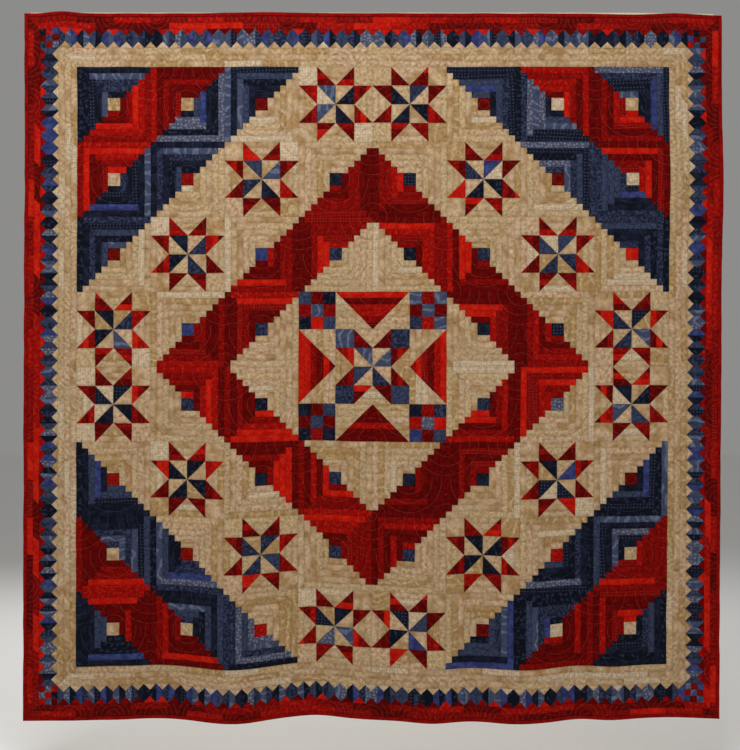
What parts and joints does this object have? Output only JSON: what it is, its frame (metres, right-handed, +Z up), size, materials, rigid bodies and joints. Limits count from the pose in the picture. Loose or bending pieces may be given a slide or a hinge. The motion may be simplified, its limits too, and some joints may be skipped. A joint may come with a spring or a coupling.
{
  "type": "hung patchwork quilt",
  "caption": "Square cotton patchwork quilt, quilted and bound, with a pieced field and borders, hanging in soft folds from a sleeve sewn along the top of its back.",
  "frame": {"origin": "middle of the quilt's top edge, halfway through its thickness, where it hangs", "axes": "+Z up; +X across the quilt, to the right of someone facing it; the pieced face looks towards -Y"},
  "size_m": [2.1637, 0.0631, 2.199],
  "materials": {
    "field_patchwork": "printed cotton patchwork in cream, red and blue, quilted",
    "border_patchwork": "printed cotton patchwork, mostly red, quilted",
    "binding_cotton": "dark red woven cotton",
    "sleeve_cotton": "plain undyed woven cotton"
  },
  "bodies": {
    "root": {"field": "field_patchwork", "border_top": "border_patchwork", "border_bottom": "border_patchwork", "border_left": "border_patchwork", "border_right": "border_patchwork", "binding_top": "binding_cotton", "binding_bottom": "binding_cotton", "binding_left": "binding_cotton", "binding_right": "binding_cotton", "sleeve": "sleeve_cotton"}
  },
  "joints": []
}
